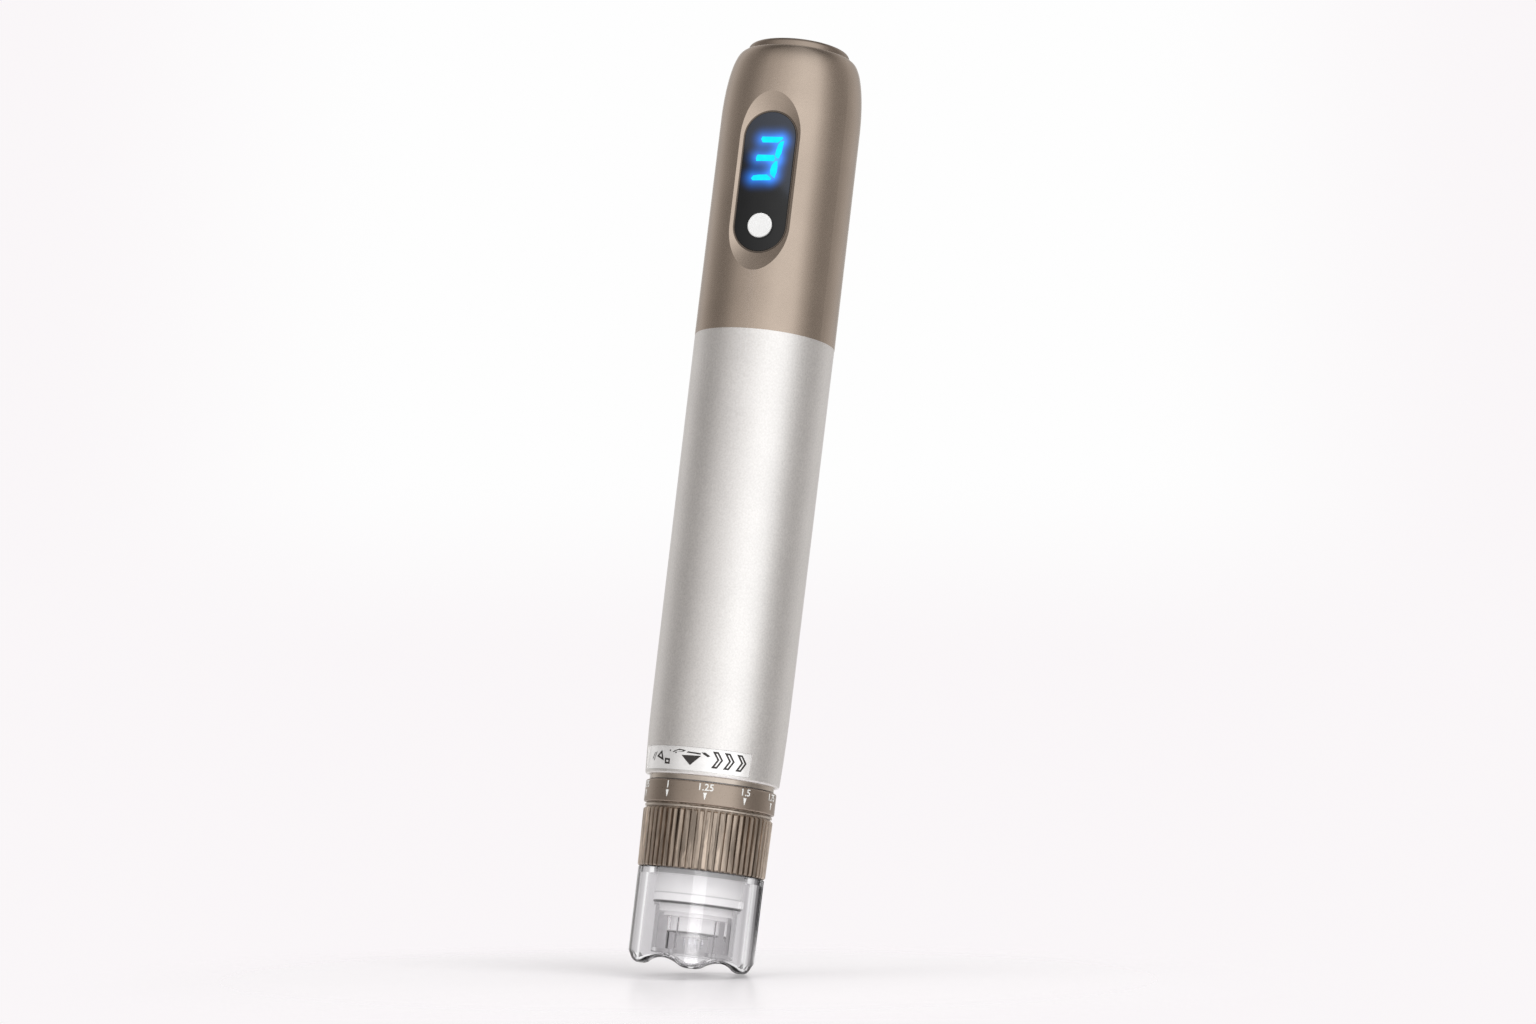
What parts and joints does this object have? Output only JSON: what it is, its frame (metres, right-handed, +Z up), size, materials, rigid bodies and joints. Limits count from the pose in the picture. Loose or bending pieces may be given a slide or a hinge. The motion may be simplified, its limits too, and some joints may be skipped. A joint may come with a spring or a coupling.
{
  "type": "microneedling pen",
  "caption": "Cordless microneedling pen with a lit window and button, tapered metal barrel, turning depth collar and clear lobed guard round a needle cartridge.",
  "frame": {"origin": "under the middle of the guard's rim, on the surface the pen stands on", "axes": "+Z up the pen from the guard to the cap, display and button face -Y"},
  "size_m": [0.0266, 0.0266, 0.175],
  "materials": {
    "taupe_metal": "satin taupe",
    "silver_metal": "satin, finely blasted",
    "bright_metal": "polished",
    "inner_metal": "turned",
    "spring_steel": "bright",
    "motor_steel": "satin",
    "bush_brass": "turned",
    "seal_rubber": "matte",
    "window_gloss": "black gloss",
    "button_white": "soft gloss",
    "inner_plastic": "moulded",
    "cartridge_white": "moulded",
    "clear_plastic": "clear moulded plastic",
    "cell_wrap": "shrink wrap",
    "board_green": "printed board"
  },
  "bodies": {
    "housing": {"upper_housing": "taupe_metal", "top_cap": "taupe_metal", "cap_seal": "seal_rubber", "joint_seal": "seal_rubber", "display_window": "window_gloss", "button_bezel": "window_gloss", "button_switch": "inner_plastic", "barrel": "silver_metal", "marker_band": "bright_metal", "neck_ring": "taupe_metal", "nose_tube": "inner_metal", "retaining_ring": "spring_steel", "rod_bush": "bush_brass", "rod_spring": "spring_steel", "drive_sleeve": "inner_plastic", "motor_mount": "inner_metal", "motor_screws": "spring_steel", "motor_can": "motor_steel", "motor_end_bell": "inner_plastic", "motor_dampers": "seal_rubber", "inner_chassis": "inner_plastic", "battery_cell": "cell_wrap", "cell_tabs": "bright_metal", "control_board": "board_green", "board_screws": "spring_steel", "display_module": "inner_plastic", "charge_board": "board_green", "charge_socket": "bright_metal"},
    "button": {"power_button": "button_white", "switch_plunger": "inner_plastic"},
    "depth_collar": {"knurled_collar": "taupe_metal", "scale_ring": "taupe_metal", "bead_ring": "taupe_metal"},
    "carrier": {"cartridge_carrier": "inner_plastic", "guide_pins": "spring_steel"},
    "cartridge": {"cartridge_body": "cartridge_white", "cartridge_ring": "seal_rubber", "cartridge_nozzle": "clear_plastic", "needle_guide": "cartridge_white", "needle_spring": "spring_steel"},
    "needle_module": {"needle_plate": "cartridge_white", "needles": "spring_steel", "needle_plunger": "cartridge_white"},
    "drive_shaft": {"drive_cam": "inner_plastic", "motor_shaft": "spring_steel"},
    "rod": {"push_rod": "inner_metal"},
    "guard": {"clear_guard": "clear_plastic"}
  },
  "joints": [
    {"name": "button_press", "type": "slide", "parent": "housing", "child": "button", "axis": [0, 1, 0], "range_m": [0, 0.0003], "stiffness_N_per_m": 4000, "springref_m": -0.0002},
    {"name": "depth_turn", "type": "hinge", "parent": "housing", "child": "depth_collar", "pos_m": [0, 0, 0.025], "axis": [0, 0, 1], "range_deg": [-195.6, 128.4]},
    {"name": "carrier_slide", "type": "slide", "parent": "housing", "child": "carrier", "axis": [0, 0, 1], "range_m": [-0.00089, 0.00136]},
    {"name": "cartridge_pull", "type": "slide", "parent": "carrier", "child": "cartridge", "axis": [0, 0, -1], "range_m": [0, 0.03]},
    {"name": "needle_stroke", "type": "slide", "parent": "cartridge", "child": "needle_module", "axis": [0, 0, -1], "range_m": [0, 0.0025], "deforming": ["needle_spring"]},
    {"name": "rod_stroke", "type": "slide", "parent": "housing", "child": "rod", "axis": [0, 0, -1], "range_m": [0, 0.0025], "stiffness_N_per_m": 600, "springref_m": -0.001, "deforming": ["rod_spring"]},
    {"name": "motor_spin", "type": "hinge", "parent": "housing", "child": "drive_shaft", "pos_m": [0, 0, 0.05], "axis": [0, 0, 1], "continuous": true},
    {"name": "guard_pull", "type": "slide", "parent": "housing", "child": "guard", "axis": [0, 0, -1], "range_m": [0, 0.03]}
  ],
  "couplings": [
    {"joint": "depth_turn", "follows": "carrier_slide", "rad_per_m": -2513.3},
    {"joint": "needle_stroke", "follows": "rod_stroke", "ratio": 1}
  ]
}
